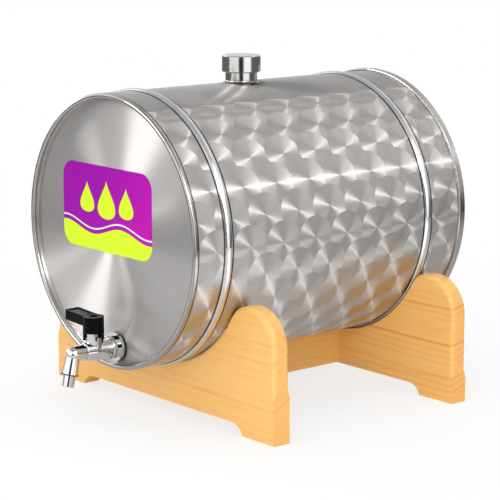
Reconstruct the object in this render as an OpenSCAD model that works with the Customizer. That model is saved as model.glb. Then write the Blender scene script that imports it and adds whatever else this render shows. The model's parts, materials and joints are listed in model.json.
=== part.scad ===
// Stainless steel drink dispenser: a six litre barrel lying in a wooden cradle,
// with a screw cap on top and a small ball valve tap low on the front head.
// Millimetres, +Z up, the tap faces -Y, the stand rests on z = 0.

/* [Barrel] */
// Outside diameter of the shell
shell_d = 185; // [165:1:200]
// Wall thickness of the shell
shell_t = 0.8; // [0.6:0.1:1.2]
// Overall length of the barrel, front rim to rear chime
barrel_len = 242; // [225:1:280]
// Width of a swaged bead
bead_w = 6.5; // [5:0.5:9]
// Height of a swaged bead above the shell
bead_h = 1.6; // [1:0.1:2]
// Width of the rolled rim at the front of the shell
rim_w = 3.5; // [3:0.1:4]
// Distance from the front rim to the middle of the front bead
front_bead = 28; // [20:0.5:34]
// Distance from the rear end to the middle of the rear bead
rear_bead = 35.3; // [28:0.1:42]
// Sheet thickness of the two heads
head_t = 0.8; // [0.6:0.1:1.2]
// Depth of the front head behind the rolled rim
front_recess = 2.5; // [2:0.1:6]
// Depth of the rear head behind its end of the shell
head_recess = 6; // [4:0.5:9]
// Inside corner radius where a head turns into its flange
head_corner_r = 1.5; // [0.8:0.1:1.6]
// Height of the rear chime above the shell
chime_h = 1.7; // [1.2:0.1:2.5]
// Length of the rear chime along the barrel
chime_w = 5.8; // [4:0.2:8]
// Thickness of the chime where it closes over the edge
chime_t = 1.2; // [0.8:0.1:2]

/* [Filler] */
// Distance from the front rim to the axis of the filler neck
neck_back = 115; // [100:1:130]
// Outside diameter of the neck
neck_d = 21.9; // [18:0.1:26]
// Wall thickness of the neck
neck_t = 1.5; // [1:0.1:2.5]
// Free length of the neck between the shell and the cap
neck_gap = 7.2; // [4:0.1:12]
// Radius of the weld fillet round the foot of the neck
neck_weld_r = 1.8; // [1:0.1:2.5]
// Outside diameter of the cap
cap_d = 26.7; // [24:0.1:32]
// Height of the cap
cap_h = 11.7; // [9:0.1:15]
// Thickness of the cap's top
cap_top_t = 2.5; // [1.5:0.1:4]
// Thickness of the cap's gasket
cap_gasket_t = 1.6; // [1:0.1:2.5]
// Chamfer on the cap's edges
cap_chamfer = 0.7; // [0.2:0.1:1]

/* [Tap] */
// Height of the tap's axis above the bottom of the shell
tap_up = 14.2; // [13.5:0.1:24]
// Diameter of the tap's flange
tap_flange_d = 20; // [18:0.1:20]
// Thickness of the tap's flange
tap_flange_t = 1.8; // [1.2:0.1:3]
// Diameter of the collar in front of the flange
tap_collar_d = 15.2; // [14:0.1:17]
// Length of the collar
tap_collar_l = 3.3; // [2:0.1:5]
// Diameter of the rounded ring where the valve body is screwed on
tap_ring_d = 16.2; // [15:0.1:18]
// Length of the rounded ring
tap_ring_l = 1.8; // [1.2:0.1:3]
// Diameter of the threaded tail that passes through the head
tail_d = 13; // [11.5:0.1:14]
// Length of the tail behind the outer face of the head
tail_l = 9; // [8.5:0.5:14]
// Length of the valve body's screwed spigot inside the tail
spigot_l = 4.6; // [3:0.1:6]
// Diameter of the spigot
spigot_d = 10; // [8:0.1:10.6]
// Thickness of the gasket outside the head
outer_gasket_t = 1; // [0.6:0.1:2]
// Thickness of the gasket inside the head
inner_gasket_t = 1.5; // [1:0.1:2.5]
// Outside diameter of both tail gaskets
tail_gasket_d = 18.8; // [17:0.1:19]
// Width across flats of the lock nut inside the barrel
lock_nut_af = 17; // [16:0.5:19]
// Thickness of the lock nut
lock_nut_t = 4; // [3:0.5:5]

/* [Valve] */
// Diameter of the tapered valve body where it meets the ring
valve_d = 15.4; // [14.6:0.1:16]
// Diameter of the valve body at its spout end
valve_front_d = 12; // [11.8:0.1:12.6]
// Length of the valve body in front of the ring
valve_l = 19.1; // [18:0.1:24]
// Distance from the front of the ring to the axis of the ball
ball_out = 11.1; // [10.6:0.1:12]
// Diameter of the ball
ball_d = 8.8; // [8.4:0.1:9]
// Diameter of the waterway
port_d = 5.2; // [4:0.1:5.2]
// Length of a seat past the middle of the ball
seat_l = 5.4; // [5:0.1:6]
// Gap between the ball and the wall of its chamber
chamber_gap = 0.2; // [0.1:0.05:0.3]
// Diameter of the stem
stem_d = 3.8; // [3.2:0.1:4]
// Width of the tang that turns the ball
tang_w = 1.6; // [1.2:0.1:2]
// Depth of the ball's slot for the tang
tang_depth = 1.3; // [1:0.1:1.3]
// Side of the stem's square end
square_w = 2.6; // [2.2:0.1:2.6]
// Diameter of the boss that carries the packing nut
boss_d = 10.8; // [10:0.1:11]
// Height of the boss above the tap's axis
boss_h = 7.5; // [7.4:0.1:8]
// Diameter of the packing's pocket in the boss
packing_d = 6.8; // [6:0.1:7.4]
// Height of the packing
packing_h = 1.2; // [0.8:0.1:1.2]
// Depth of the packing's pocket
packing_depth = 1.6; // [1.4:0.1:1.7]
// Width across flats of the packing nut
packing_nut_af = 9.2; // [8.6:0.1:9.4]
// Height of the packing nut
packing_nut_h = 4.6; // [3.5:0.1:5]
// Chamfer on the packing nut's upper corners
packing_nut_chamfer = 0.3; // [0.1:0.1:0.5]

/* [Lever] */
// Diameter of the lever's hub
hub_d = 14.2; // [14:0.1:16]
// Height of the hub above the packing nut
hub_h = 11; // [10:0.1:14]
// Wall thickness of the skirt round the packing nut
skirt_t = 1.4; // [1:0.1:1.4]
// Length of the lever from its axis to its tip
lever_l = 25; // [20:0.5:32]
// Width of the lever's arm
lever_w = 11.2; // [8:0.1:12]
// Thickness of the lever's arm
lever_t = 6.8; // [5:0.1:8]
// Rise of the arm towards its tip, in degrees
lever_rise = 3; // [0:0.5:6]
// Corner radius at the tip of the arm
lever_tip_r = 1.2; // [0.5:0.1:3]
// Depth of the sunken panel on the arm
panel_depth = 0.6; // [0.3:0.1:1]
// Rim left round the sunken panel
panel_rim = 1.2; // [0.8:0.1:2]
// Angle that the lever turns between closed and open
lever_turn = 90; // [80:1:100]
// Width of the stop lug on the valve body
lug_w = 2.2; // [1.6:0.1:3]
// Height of the stop lug above the boss
lug_h = 2.2; // [1:0.1:3]
// Diameter of the screw's head
screw_head_d = 5.4; // [4.5:0.1:6]
// Height of the screw's head
screw_head_h = 1.6; // [1:0.1:2]
// Diameter of the screw's shank
screw_d = 1.5; // [1.2:0.1:1.6]
// Length of the screw's shank
screw_l = 6; // [4:0.5:7]
// Free room under the screw's point
screw_room = 0.5; // [0.3:0.1:1]
// Depth of the screw's pocket in the hub
screw_pocket = 2.4; // [2:0.1:3]

/* [Spout] */
// Diameter of the spout's tube
spout_d = 10.4; // [9.6:0.1:11]
// Distance from the valve body to the middle of the elbow
elbow_out = 8.6; // [7:0.1:12]
// Lean of the spout away from the barrel, in degrees
spout_lean = 13; // [5:1:20]
// Length of the leg below the elbow
leg_l = 13.2; // [10:0.1:18]
// Diameter of the leg under the elbow
leg_top_d = 9; // [8.6:0.1:9.6]
// Diameter of the leg's lower end
leg_end_d = 11.2; // [10:0.1:12]
// Diameter of the ring seal between leg and nozzle
o_ring_d = 11.8; // [11:0.1:13]
// Thickness of the ring seal
o_ring_t = 0.7; // [0.5:0.1:1.2]
// Outside diameter of the nozzle
nozzle_d = 8.2; // [7.6:0.1:9]
// Length of the nozzle below the ring seal
nozzle_l = 7.9; // [5:0.1:12]
// Chamfer on both edges of the nozzle
nozzle_chamfer = 0.3; // [0.1:0.1:0.5]
// Diameter of the nozzle's shank inside the leg
shank_d = 6.4; // [6.2:0.1:6.8]
// Length of the nozzle's shank inside the leg
shank_l = 5; // [3:0.1:6]

/* [Stand] */
// Clear height between the table and the shell
barrel_clear = 35.5; // [35:0.5:50]
// Overhang of the boards past the shell on each side
stand_over = 29; // [24:0.5:36]
// Thickness of the boards
board_t = 13; // [11:0.5:18]
// Distance from the front rim to the front board
front_board = 41.5; // [34:0.5:50]
// Distance from the front board's face to the rear board's face
board_pitch = 162.5; // [160:0.5:165]
// Radius of the horns
horn_r = 26; // [22:0.5:30]
// Distance of the horns' tops below the barrel's axis
horn_drop = 40.5; // [35:0.5:46]
// Rounding along the outer edges of the boards
edge_r = 3.5; // [2:0.1:5]
// Height at which the rounding on the sides of the front board stops
front_stop = 38; // [30:0.5:46]
// Height at which the rounding on the sides of the rear board stops
rear_stop = 24; // [20:0.5:34]
// Radius of the pilot that guides the rounding bit along the edge
pilot_r = 6; // [4:0.5:8]
// Height of the arch under a board
arch_h = 7.4; // [5:0.1:7.6]
// Width of one foot of a board
foot_w = 32; // [24:0.5:40]
// Radius at the ends of the arch
arch_r = 12; // [9:0.5:16]
// Thickness of the stretcher
stretcher_t = 10; // [8:0.5:16]
// Height of the stretcher
stretcher_h = 25; // [21:0.5:25]
// Height of the stretcher above the arch
stretcher_lift = 0.6; // [0:0.1:0.6]
// Diameter of a dowel
dowel_d = 6; // [5:0.5:7]
// Distance between the two dowels of a joint
dowel_pitch = 12; // [9:0.5:13]
// Depth of a dowel in a board
dowel_board = 8; // [6:0.5:9]
// Depth of a dowel in the stretcher
dowel_rail = 14; // [10:0.5:20]

/* [Fits] */
// Gap between pieces that are welded, glued or screwed together
seat_gap = 0.05; // [0.02:0.01:0.1]
// Running gap of the ball and the stem
run_gap = 0.05; // [0.02:0.01:0.1]
// Gap between the lever and the fixed parts of the tap
lever_gap = 0.4; // [0.3:0.05:0.6]
// Gap between the barrel and the saddles
saddle_gap = 0.3; // [0.2:0.05:0.6]
// Gap between the cap and the neck's thread
cap_gap = 0.3; // [0.2:0.05:0.4]
// Free room at the end of a dowel's hole
dowel_gap = 0.5; // [0.3:0.1:1]

/* [Hidden] */
$fn = 96;
// Length by which a cutting tool stands clear of what it cuts
over = 1;

// Barrel, with its middle at barrel_y
shell_r = shell_d / 2;
shell_in_r = shell_r - shell_t;
half_len = barrel_len / 2;
axis_h = barrel_clear + shell_r;
bead_r = (bead_w * bead_w / 4 + bead_h * bead_h) / (2 * bead_h);
bead_c = shell_r + bead_h - bead_r;
front_bead_y = front_bead - half_len;
rear_bead_y = half_len - rear_bead;
shell_rear_y = half_len - chime_t;
head_r = shell_in_r - seat_gap;
roll_r = rim_w / 2;
roll_y = roll_r - half_len;
// The front head's flange ends behind the rolled rim
front_flange = front_recess - seat_gap;
front_flange_y = rim_w + seat_gap - half_len;

// Filler neck and cap, heights above the barrel's axis
neck_y = neck_back - half_len;
neck_r = neck_d / 2;
neck_bore_r = neck_r - neck_t;
cap_r = cap_d / 2;
cap_bore_r = neck_r + cap_gap;
cap_z = shell_r + neck_gap;
cap_top_z = cap_z + cap_h;
cap_ceiling_z = cap_top_z - cap_top_t;
neck_top_z = cap_ceiling_z - cap_gasket_t;
neck_foot_z = sqrt(shell_in_r * shell_in_r - neck_r * neck_r) - over;

// Tap, distances in front of the front head's outer face
head_face_y = rim_w + front_recess - half_len;
tap_drop = shell_r - tap_up;
flange_out = outer_gasket_t;
collar_out = flange_out + tap_flange_t;
ring_out = collar_out + tap_collar_l;
valve_out = ring_out + tap_ring_l;
stem_out = valve_out + ball_out;
valve_end = valve_out + valve_l;
elbow_at = valve_end + elbow_out;
tail_r = tail_d / 2;
port_r = port_d / 2;
ball_r = ball_d / 2;
chamber_r = ball_r + chamber_gap;
valve_r = valve_d / 2;
valve_front_r = valve_front_d / 2;
stem_r = stem_d / 2;
stem_hole_r = stem_r + run_gap;
spout_r = spout_d / 2;

// Radius of the tapered valve body at a distance in front of the head
function valve_r_at(out) = valve_r + (valve_front_r - valve_r) * (out - valve_out) / valve_l;

// Heights above the tap's axis
slot_z = ball_r - tang_depth;
packing_z = boss_h - packing_depth;
gland_z = packing_z + packing_h;
nut_top_z = boss_h + packing_nut_h;
hub_z = nut_top_z + lever_gap;
hub_top_z = hub_z + hub_h;
screw_z = hub_top_z - screw_pocket;
stem_top_z = screw_z - lever_gap;
square_z = hub_z + lever_gap;
skirt_out_r = hub_d / 2;
skirt_z = valve_r_at(stem_out - skirt_out_r) + lever_gap;
skirt_in_r = skirt_out_r - skirt_t;
lug_half = asin(lug_w / 2 / skirt_in_r);
// Half of the lever's gap is left between lug and skirt at each end of the turn, as an angle
lug_clear = asin(lever_gap / 2 / skirt_in_r);

// Spout, distances down its leg from the elbow
o_ring_at = leg_l + o_ring_t;
nozzle_end = o_ring_at + nozzle_l;
nose = max(
    o_ring_at * sin(spout_lean) + o_ring_d / 2 * cos(spout_lean),
    (nozzle_end - nozzle_chamfer) * sin(spout_lean) + nozzle_d / 2 * cos(spout_lean)
);

// The whole part is centred over the origin between spout and rear chime
front_y = head_face_y - elbow_at - nose;
barrel_y = -(front_y + half_len) / 2;

// Stand
stand_half = shell_r + stand_over;
horn_x = stand_half - horn_r;
horn_z = axis_h - horn_drop - horn_r;
front_board_y = barrel_y - half_len + front_board;
rear_board_y = front_board_y + board_pitch;
front_saddle_r = shell_r + saddle_gap;
rear_saddle_r = shell_r + bead_h + saddle_gap;
// Where the board's flat meets the round of the horn, this angle above the horn's middle
fill_angle = 20;
fill_x = horn_x - (horn_r - edge_r) * cos(fill_angle);
fill_z = horn_z + (horn_r - edge_r) * sin(fill_angle);
arch_foot = sqrt(arch_r * arch_r - (arch_r - arch_h) * (arch_r - arch_h));
arch_x = stand_half - foot_w - arch_foot;
stretcher_z = arch_h + stretcher_lift;
stretcher_y = front_board_y + board_t;
stretcher_l = board_pitch - board_t;
dowel_z = stretcher_z + stretcher_h / 2;
dowel_r = dowel_d / 2;

steel = [0.80, 0.80, 0.80];
polished = [0.88, 0.88, 0.89];
chrome = [0.75, 0.77, 0.80];
pine = [0.96, 0.78, 0.50];
dowel_wood = [0.85, 0.70, 0.48];
black = [0.06, 0.06, 0.06];
rubber = [0.15, 0.15, 0.15];
white = [0.95, 0.95, 0.93];

// Frames and tools

// Barrel frame: middle of the barrel's axis
module at_barrel() {
    translate([0, barrel_y, axis_h]) children();
}

// A profile turned about the barrel's axis, its y running to the rear
module turn_along_y() {
    rotate([-90, 0, 0]) rotate_extrude() children();
}

// Neck frame: the barrel's axis below the neck, +Z up
module at_neck() {
    at_barrel() translate([0, neck_y, 0]) children();
}

// Tap frame: tap axis on the head's outer face, -Y outwards, +Z up
module at_tap() {
    at_barrel() translate([0, head_face_y, -tap_drop]) children();
}

// Valve frame: middle of the ball
module at_ball() {
    at_tap() translate([0, -stem_out, 0]) children();
}

// A round bar on the tap's axis between two distances from the head
module bar(from, to, r) {
    rotate([90, 0, 0]) translate([0, 0, from]) cylinder(h = to - from, r = r);
}

// A ring on the tap's axis
module ring(from, to, r, hole_r) {
    difference() {
        bar(from, to, r);
        bar(from - over, to + over, hole_r);
    }
}

// Spout frame: elbow, +Z down along the leaning leg
module at_spout() {
    at_tap() translate([0, -elbow_at, 0]) rotate([180 - spout_lean, 0, 0]) children();
}

// A hexagonal bar, flats facing +X and -X
module hex_bar(af, h) {
    rotate([0, 0, 30]) cylinder(h = h, d = af / cos(30), $fn = 6);
}

// Quarter of a dish: disc with one rounded outer corner at the far end
module dish_outline(r, depth, corner) {
    square([r - corner, depth]);
    square([r, depth - corner]);
    translate([r - corner, depth - corner]) circle(corner);
}

// A pressed head: flat disc, small corner and a flange against the shell
module pressed_head(flange) {
    depth = flange + head_t;
    rotate_extrude() difference() {
        intersection() {
            dish_outline(head_r, depth, head_corner_r + head_t);
            square([head_r + over, depth + over]);
        }
        translate([0, -over]) dish_outline(head_r - head_t, flange + over, head_corner_r);
    }
}

// Barrel

// Outer part of a swaged bead's section, rooted in the middle of the shell's wall
module bead_outline() {
    intersection() {
        circle(bead_r);
        translate([shell_r - shell_t / 2 - bead_c, -bead_w]) square([bead_w, 2 * bead_w]);
    }
}

// Shell with a rolled front rim, two swaged beads and the hole for the neck
module barrel_shell() {
    color(steel) difference() {
        at_barrel() turn_along_y() difference() {
            union() {
                translate([shell_in_r, roll_y]) square([shell_t, shell_rear_y - roll_y]);
                translate([shell_r - roll_r, roll_y]) circle(roll_r);
                for (y = [front_bead_y, rear_bead_y]) translate([bead_c, y]) bead_outline();
            }
            for (y = [front_bead_y, rear_bead_y]) translate([bead_c, y]) circle(bead_r - shell_t);
        }
        at_neck() cylinder(h = cap_top_z, r = neck_r + seat_gap);
    }
}

module front_head() {
    color(steel) difference() {
        at_barrel() translate([0, front_flange_y, 0]) rotate([-90, 0, 0]) pressed_head(front_flange);
        at_tap() bar(-head_t - over, over, tail_r + seat_gap);
    }
}

module rear_head() {
    color(steel) at_barrel() translate([0, shell_rear_y, 0]) rotate([90, 0, 0]) pressed_head(head_recess);
}

// Rolled chime: a raised band with a web that closes over the shell's edge
module rear_chime() {
    edge = chime_h / 2;
    color(polished) at_barrel() translate([0, half_len - chime_w, 0]) turn_along_y() {
        translate([shell_r + seat_gap, edge]) square([chime_h - seat_gap, chime_w - 2 * edge]);
        translate([shell_r + seat_gap, 0]) square([chime_h - edge - seat_gap, chime_w]);
        for (y = [edge, chime_w - edge]) translate([shell_r + chime_h - edge, y]) circle(edge);
        translate([head_r - head_t, chime_w - chime_t + seat_gap])
            square([shell_r - head_r + head_t + seat_gap, chime_t - seat_gap]);
    }
}

// Filler neck: a pipe through the shell with a weld fillet round its foot
module filler_neck() {
    color(polished) at_neck() difference() {
        union() {
            translate([0, 0, neck_foot_z]) cylinder(h = neck_top_z - neck_foot_z, r = neck_r);
            difference() {
                rotate_extrude() difference() {
                    translate([0, shell_in_r]) square([neck_r + neck_weld_r, shell_t + neck_weld_r]);
                    translate([neck_r + neck_weld_r, shell_r + neck_weld_r]) circle(neck_weld_r);
                }
                rotate([90, 0, 0]) cylinder(h = barrel_len, r = shell_r + seat_gap, center = true);
            }
        }
        translate([0, 0, neck_foot_z - over]) cylinder(h = neck_top_z, r = neck_bore_r);
    }
}

module filler_cap() {
    color(polished) at_neck() rotate_extrude() difference() {
        polygon([
            [0, cap_z], [cap_r - cap_chamfer, cap_z], [cap_r, cap_z + cap_chamfer],
            [cap_r, cap_top_z - cap_chamfer], [cap_r - cap_chamfer, cap_top_z], [0, cap_top_z]
        ]);
        translate([0, cap_z - over]) square([cap_bore_r, cap_ceiling_z - cap_z + over]);
    }
}

module cap_gasket() {
    color(white) at_neck() translate([0, 0, neck_top_z]) difference() {
        cylinder(h = cap_gasket_t, r = cap_bore_r - cap_gap);
        translate([0, 0, -over]) cylinder(h = cap_gasket_t + 2 * over, r = neck_bore_r);
    }
}

// Tap

// Turned tail: thread through the head, flange, collar and rounded ring
module tap_tail() {
    half_ring = tap_ring_l / 2;
    color(chrome) at_tap() difference() {
        union() {
            bar(-tail_l, flange_out, tail_r);
            bar(flange_out, collar_out, tap_flange_d / 2);
            bar(collar_out, ring_out, tap_collar_d / 2);
            rotate([90, 0, 0]) translate([0, 0, ring_out]) rotate_extrude() {
                square([tap_ring_d / 2 - half_ring, tap_ring_l]);
                translate([tap_ring_d / 2 - half_ring, half_ring]) circle(half_ring);
            }
        }
        bar(-tail_l - over, valve_out, port_r);
        bar(valve_out - spigot_l, valve_out + over, spigot_d / 2 + seat_gap);
    }
}

module tap_outer_gasket() {
    color(rubber) at_tap() ring(0, outer_gasket_t, tail_gasket_d / 2, tail_r + seat_gap);
}

module tap_inner_gasket() {
    color(rubber) at_tap() ring(-head_t - inner_gasket_t, -head_t, tail_gasket_d / 2, tail_r + seat_gap);
}

module tap_lock_nut() {
    color(chrome) at_tap() difference() {
        rotate([-90, 0, 0]) translate([0, 0, head_t + inner_gasket_t]) hex_bar(lock_nut_af, lock_nut_t);
        bar(-tail_l - over, 0, tail_r + seat_gap);
    }
}

// Valve body: a tapered barrel with the boss for the packing nut and a stop lug
module tap_body() {
    chamfer = (valve_front_d - spout_d) / 4;
    edge_out = valve_end - chamfer;
    color(chrome) at_tap() difference() {
        union() {
            bar(valve_out - spigot_l, valve_out, spigot_d / 2);
            rotate([90, 0, 0]) rotate_extrude() polygon([
                [0, valve_out], [valve_r, valve_out], [valve_r_at(edge_out), edge_out],
                [valve_front_r - chamfer, valve_end], [0, valve_end]
            ]);
            translate([0, -stem_out, 0]) cylinder(h = boss_h, d = boss_d);
            translate([0, -stem_out - lug_w / 2, 0]) stop_lug();
        }
        bar(valve_out - spigot_l - over, stem_out, port_r);
        bar(stem_out - seat_l, valve_end + over, chamber_r);
        translate([0, -stem_out, 0]) cylinder(h = boss_h + over, r = stem_hole_r);
        translate([0, -stem_out, packing_z]) cylinder(h = packing_depth + over, d = packing_d);
        translate([0, -stem_out, boss_h]) cylinder(h = lug_h + over, r = skirt_in_r);
    }
}

// Upright lug beside the boss, which stops the lever's skirt at both ends of its turn
module stop_lug() {
    cube([skirt_out_r, lug_w, boss_h + lug_h]);
}

module ball_seats() {
    color(white) at_tap() difference() {
        for (side = [-1, 1]) {
            near = stem_out + side * seat_l;
            far = stem_out + side * ball_r / 2;
            ring(min(near, far), max(near, far), chamber_r - seat_gap, port_r);
        }
        translate([0, -stem_out, 0]) sphere(ball_r + run_gap);
    }
}

// Ball in the closed position, its bore across the waterway
module valve_ball() {
    color(steel) at_ball() difference() {
        rotate([0, 90, 0]) sphere(ball_r);
        rotate([0, 90, 0]) cylinder(h = 3 * ball_r, r = port_r, center = true);
        translate([-ball_d, -tang_w / 2 - run_gap, slot_z]) cube([2 * ball_d, tang_w + 2 * run_gap, ball_d]);
    }
}

// Stem: flat tang below, round shank through the packing, square end with a screw hole
module valve_stem() {
    color(steel) at_ball() difference() {
        union() {
            translate([0, 0, ball_r + run_gap]) cylinder(h = square_z - ball_r - run_gap, r = stem_r);
            intersection() {
                translate([0, 0, slot_z + run_gap]) cylinder(h = ball_r, r = stem_r);
                translate([-ball_r, -tang_w / 2, 0]) cube([ball_d, tang_w, 2 * ball_r]);
            }
            translate([-square_w / 2, -square_w / 2, square_z])
                cube([square_w, square_w, stem_top_z - square_z]);
        }
        translate([0, 0, screw_z - screw_l - screw_room])
            cylinder(h = screw_l + screw_room + over, d = screw_d + 2 * seat_gap);
    }
}

module stem_packing() {
    color(white) at_ball() translate([0, 0, packing_z]) difference() {
        cylinder(h = packing_h, r = packing_d / 2 - seat_gap);
        translate([0, 0, -over]) cylinder(h = packing_h + 2 * over, r = stem_hole_r);
    }
}

// Packing nut: hexagon with chamfered corners and a spigot that presses on the packing
module packing_nut() {
    corner = packing_nut_af / cos(30) / 2;
    top_r = corner - packing_nut_chamfer;
    color(chrome) at_ball() difference() {
        union() {
            translate([0, 0, gland_z]) cylinder(h = boss_h - gland_z, r = packing_d / 2 - seat_gap);
            intersection() {
                translate([0, 0, boss_h]) hex_bar(packing_nut_af, packing_nut_h);
                translate([0, 0, nut_top_z - packing_nut_af])
                    cylinder(h = packing_nut_af, r1 = top_r + packing_nut_af, r2 = top_r);
            }
        }
        cylinder(h = nut_top_z + over, r = stem_hole_r);
    }
}

// Lever

// Wedge between two angles, which opens the skirt towards the stop lug
module wedge(from, to, r, h) {
    steps = 4;
    linear_extrude(h) polygon(concat(
        [[0, 0]],
        [for (i = [0 : steps]) let (a = from + (to - from) * i / steps) [r * cos(a), r * sin(a)]]
    ));
}

// Outline of the arm seen from above, from the axis to the rounded tip
module arm_outline(inset) {
    tip = lever_l - inset;
    half = lever_w / 2 - inset;
    translate([-tip + lever_tip_r, -half]) square([tip - lever_tip_r, 2 * half]);
    translate([-tip, -half + lever_tip_r]) square([tip, 2 * half - 2 * lever_tip_r]);
    for (side = [-1, 1]) translate([-tip + lever_tip_r, side * (half - lever_tip_r)]) circle(lever_tip_r);
}

module lever_handle() {
    color(black) at_ball() difference() {
        union() {
            translate([0, 0, hub_z]) cylinder(h = hub_h, d = hub_d);
            translate([0, 0, hub_top_z]) rotate([0, lever_rise, 0]) translate([0, 0, -lever_t])
                linear_extrude(lever_t) arm_outline(0);
            lever_skirt();
        }
        translate([0, 0, hub_top_z]) rotate([0, lever_rise, 0]) translate([0, 0, -panel_depth])
            intersection() {
                linear_extrude(panel_depth + over) arm_outline(panel_rim);
                translate([-2 * lever_l - hub_d / 2, -lever_w, 0]) cube([2 * lever_l, 2 * lever_w, 2 * over]);
            }
        translate([0, 0, screw_z]) cylinder(h = screw_pocket + over, d = screw_head_d + 2 * lever_gap);
        translate([0, 0, hub_top_z]) cylinder(h = lever_t, d = hub_d - 2 * panel_rim);
        translate([-square_w / 2 - seat_gap, -square_w / 2 - seat_gap, square_z])
            cube([square_w + 2 * seat_gap, square_w + 2 * seat_gap, stem_top_z - square_z + lever_gap / 2]);
        translate([0, 0, hub_z - over]) cylinder(h = square_z - hub_z + over, r = stem_r + seat_gap);
        translate([0, 0, hub_z]) cylinder(h = hub_h, d = screw_d + 2 * seat_gap);
    }
}

module lever_skirt() {
    clear = lug_half + lug_clear;
    difference() {
        translate([0, 0, skirt_z]) cylinder(h = hub_z - skirt_z, r = skirt_out_r);
        translate([0, 0, skirt_z - over]) cylinder(h = hub_z - skirt_z + over, r = skirt_in_r);
        translate([0, 0, skirt_z - over])
            wedge(-lever_turn - clear, clear, 2 * hub_d, hub_z - skirt_z + over);
    }
}

module lever_screw() {
    color(steel) at_ball() translate([0, 0, screw_z]) {
        cylinder(h = screw_head_h, d = screw_head_d);
        translate([0, 0, -screw_l]) cylinder(h = screw_l, d = screw_d);
    }
}

// Spout

module spout() {
    color(chrome) difference() {
        union() {
            at_tap() bar(stem_out + seat_l, valve_end, chamber_r - seat_gap);
            at_tap() bar(valve_end, elbow_at, spout_r);
            at_spout() sphere(spout_r);
            at_spout() cylinder(h = leg_l, d1 = leg_top_d, d2 = leg_end_d);
        }
        at_tap() bar(stem_out, elbow_at, port_r);
        at_spout() sphere(port_r);
        at_spout() cylinder(h = leg_l + over, r = port_r);
        at_spout() translate([0, 0, leg_l - shank_l])
            cylinder(h = shank_l + over, d = shank_d + 2 * seat_gap);
    }
}

module spout_o_ring() {
    color(rubber) at_spout() translate([0, 0, leg_l]) difference() {
        cylinder(h = o_ring_t, d = o_ring_d);
        translate([0, 0, -over]) cylinder(h = o_ring_t + 2 * over, d = shank_d + 2 * seat_gap);
    }
}

module spout_nozzle() {
    nozzle_r = nozzle_d / 2;
    rim_r = nozzle_r - nozzle_chamfer;
    color(chrome) at_spout() rotate_extrude() polygon([
        [port_r, leg_l - shank_l], [shank_d / 2, leg_l - shank_l], [shank_d / 2, o_ring_at],
        [rim_r, o_ring_at], [nozzle_r, o_ring_at + nozzle_chamfer],
        [nozzle_r, nozzle_end - nozzle_chamfer], [rim_r, nozzle_end], [port_r, nozzle_end]
    ]);
}

// Stand

// Section of a board towards its outer edge, both corners rounded
module rounded_end(length) {
    square([length - edge_r, board_t]);
    translate([0, edge_r]) square([length, board_t - 2 * edge_r]);
    for (y = [edge_r, board_t - edge_r]) translate([length - edge_r, y]) circle(edge_r);
}

// What the rounding bit takes off a corner, x running in from the board's edge and y from its face
module bit_outline() {
    difference() {
        translate([-over, -over]) square([edge_r + over, edge_r + over]);
        translate([edge_r, edge_r]) circle(edge_r);
    }
}

// Run-out of the rounding on both faces of a side, where the bit stops and leaves the board
module run_out() {
    intersection() {
        for (face = [0, 1]) translate([0, face * board_t, 0]) mirror([0, face, 0])
            turn_along_y() translate([pilot_r, 0]) bit_outline();
        translate([-2 * pilot_r - edge_r, -2 * over, -2 * pilot_r - edge_r])
            cube([2 * pilot_r + edge_r, board_t + 4 * over, 2 * pilot_r + edge_r]);
    }
}

// Outline of the arch under a board, drawn across the board
module arch_outline() {
    translate([-arch_x, -over]) square([2 * arch_x, arch_h + over]);
    for (side = [-1, 1]) translate([side * arch_x, arch_h - arch_r]) circle(arch_r);
}

// A cradle board: two round horns on straight sides, a saddle and an arch between two feet
module cradle(saddle_r, stop) {
    difference() {
        union() {
            for (side = [0, 1]) mirror([side, 0, 0]) {
                translate([horn_x, 0, horn_z]) turn_along_y() rounded_end(horn_r);
                translate([horn_x, 0, stop]) linear_extrude(horn_z - stop) rounded_end(horn_r);
                translate([horn_x, 0, 0]) cube([horn_r, board_t, stop]);
            }
            translate([-horn_x, 0, 0]) cube([2 * horn_x, board_t, horn_z]);
            translate([-fill_x, 0, 0]) cube([2 * fill_x, board_t, fill_z]);
        }
        translate([0, -over, axis_h]) rotate([-90, 0, 0]) cylinder(h = board_t + 2 * over, r = saddle_r);
        for (side = [0, 1]) mirror([side, 0, 0]) translate([stand_half + pilot_r, 0, stop]) run_out();
        translate([0, board_t + over, 0]) rotate([90, 0, 0])
            linear_extrude(board_t + 2 * over) arch_outline();
    }
}

// The two dowels of one joint, along +Y from the board's face
module dowel_pair(length, r) {
    for (side = [-1, 1]) translate([0, 0, dowel_z + side * dowel_pitch / 2])
        rotate([-90, 0, 0]) cylinder(h = length, r = r);
}

// Holes for both pairs of dowels, from deep in the boards to deep in the stretcher
module dowel_holes() {
    board_depth = dowel_board + dowel_gap;
    hole_l = board_depth + dowel_rail + dowel_gap;
    translate([0, stretcher_y - board_depth, 0]) dowel_pair(hole_l, dowel_r + seat_gap);
    translate([0, rear_board_y + board_depth - hole_l, 0]) dowel_pair(hole_l, dowel_r + seat_gap);
}

module front_cradle() {
    color(pine) difference() {
        translate([0, front_board_y, 0]) cradle(front_saddle_r, front_stop);
        dowel_holes();
    }
}

module rear_cradle() {
    color(pine) difference() {
        translate([0, rear_board_y, 0]) cradle(rear_saddle_r, rear_stop);
        dowel_holes();
    }
}

module stretcher() {
    color(pine) difference() {
        translate([-stretcher_t / 2, stretcher_y, stretcher_z]) cube([stretcher_t, stretcher_l, stretcher_h]);
        dowel_holes();
    }
}

module front_dowels() {
    color(dowel_wood) translate([0, stretcher_y - dowel_board, 0])
        dowel_pair(dowel_board + dowel_rail, dowel_r);
}

module rear_dowels() {
    color(dowel_wood) translate([0, rear_board_y - dowel_rail, 0])
        dowel_pair(dowel_board + dowel_rail, dowel_r);
}

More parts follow.
